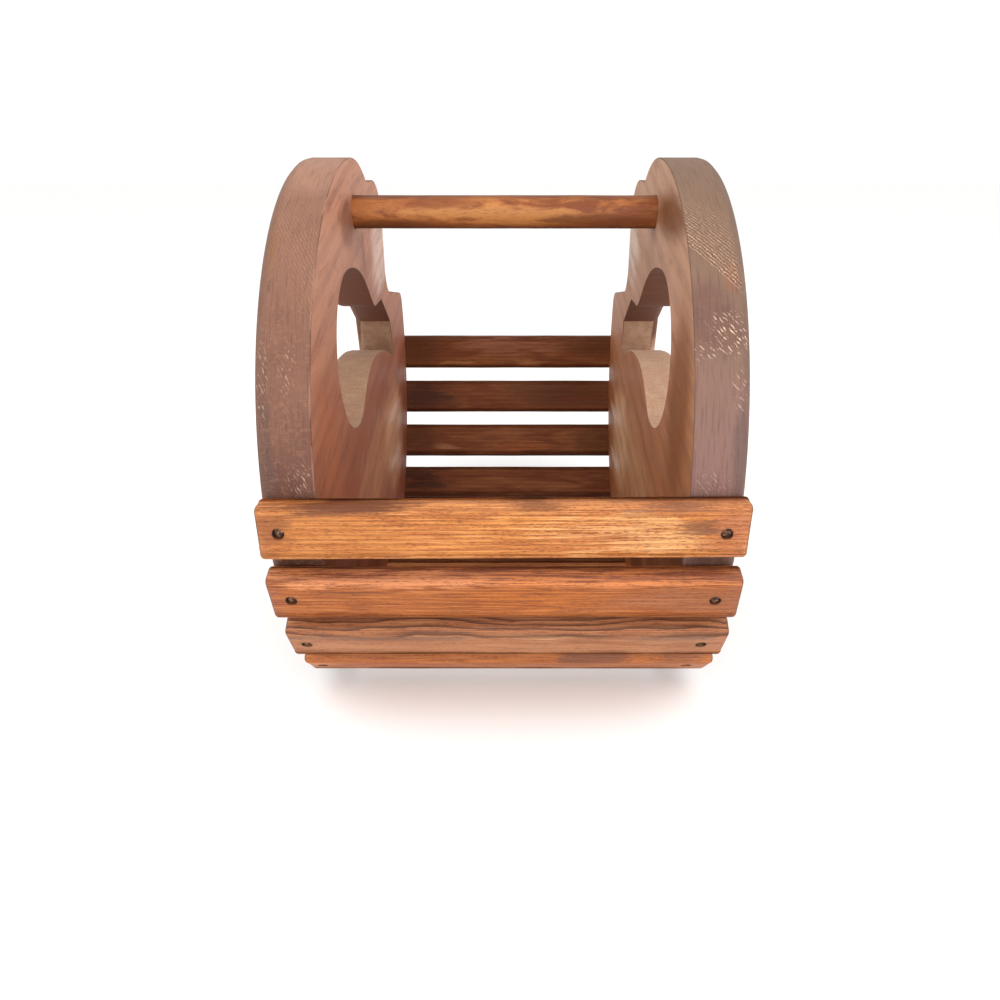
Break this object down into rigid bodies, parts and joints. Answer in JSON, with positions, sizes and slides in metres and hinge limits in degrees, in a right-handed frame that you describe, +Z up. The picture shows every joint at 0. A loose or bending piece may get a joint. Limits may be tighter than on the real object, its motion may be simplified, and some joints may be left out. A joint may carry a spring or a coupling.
{
  "type": "slat basket",
  "caption": "Wooden carrying basket: scroll-sawn side panels with comma-shaped cut-outs, a round dowel handle between them, and slats nailed across the front, base and back.",
  "frame": {"origin": "on the surface that the basket stands on, under the middle of its bounding box", "axes": "+Z up, front towards -Y, +X to the right along the slats seen from the front"},
  "size_m": [0.219, 0.3451, 0.2748],
  "materials": {
    "stained_side": "reddish-brown stain, satin on the faces and rough-sawn on the edges",
    "honey_slat": "honey-orange stain on softwood slats, satin",
    "varnished_dowel": "orange-brown stain under clear varnish",
    "dark_nail": "darkened steel nail, head set below the slat's face"
  },
  "bodies": {
    "root": {"left_panel": "stained_side", "right_panel": "stained_side", "handle_dowel": "varnished_dowel", "front_slat_1": "honey_slat", "front_slat_2": "honey_slat", "front_slat_3": "honey_slat", "front_slat_4": "honey_slat", "back_slat_1": "honey_slat", "back_slat_2": "honey_slat", "back_slat_3": "honey_slat", "back_slat_4": "honey_slat", "base_slat_1": "honey_slat", "base_slat_2": "honey_slat", "base_slat_3": "honey_slat", "base_slat_4": "honey_slat", "base_slat_5": "honey_slat", "front_slat_1_nail_left": "dark_nail", "front_slat_1_nail_right": "dark_nail", "front_slat_2_nail_left": "dark_nail", "front_slat_2_nail_right": "dark_nail", "front_slat_3_nail_left": "dark_nail", "front_slat_3_nail_right": "dark_nail", "front_slat_4_nail_left": "dark_nail", "front_slat_4_nail_right": "dark_nail", "back_slat_1_nail_left": "dark_nail", "back_slat_1_nail_right": "dark_nail", "back_slat_2_nail_left": "dark_nail", "back_slat_2_nail_right": "dark_nail", "back_slat_3_nail_left": "dark_nail", "back_slat_3_nail_right": "dark_nail", "back_slat_4_nail_left": "dark_nail", "back_slat_4_nail_right": "dark_nail", "base_slat_1_nail_left": "dark_nail", "base_slat_1_nail_right": "dark_nail", "base_slat_2_nail_left": "dark_nail", "base_slat_2_nail_right": "dark_nail", "base_slat_3_nail_left": "dark_nail", "base_slat_3_nail_right": "dark_nail", "base_slat_4_nail_left": "dark_nail", "base_slat_4_nail_right": "dark_nail", "base_slat_5_nail_left": "dark_nail", "base_slat_5_nail_right": "dark_nail"}
  },
  "joints": []
}
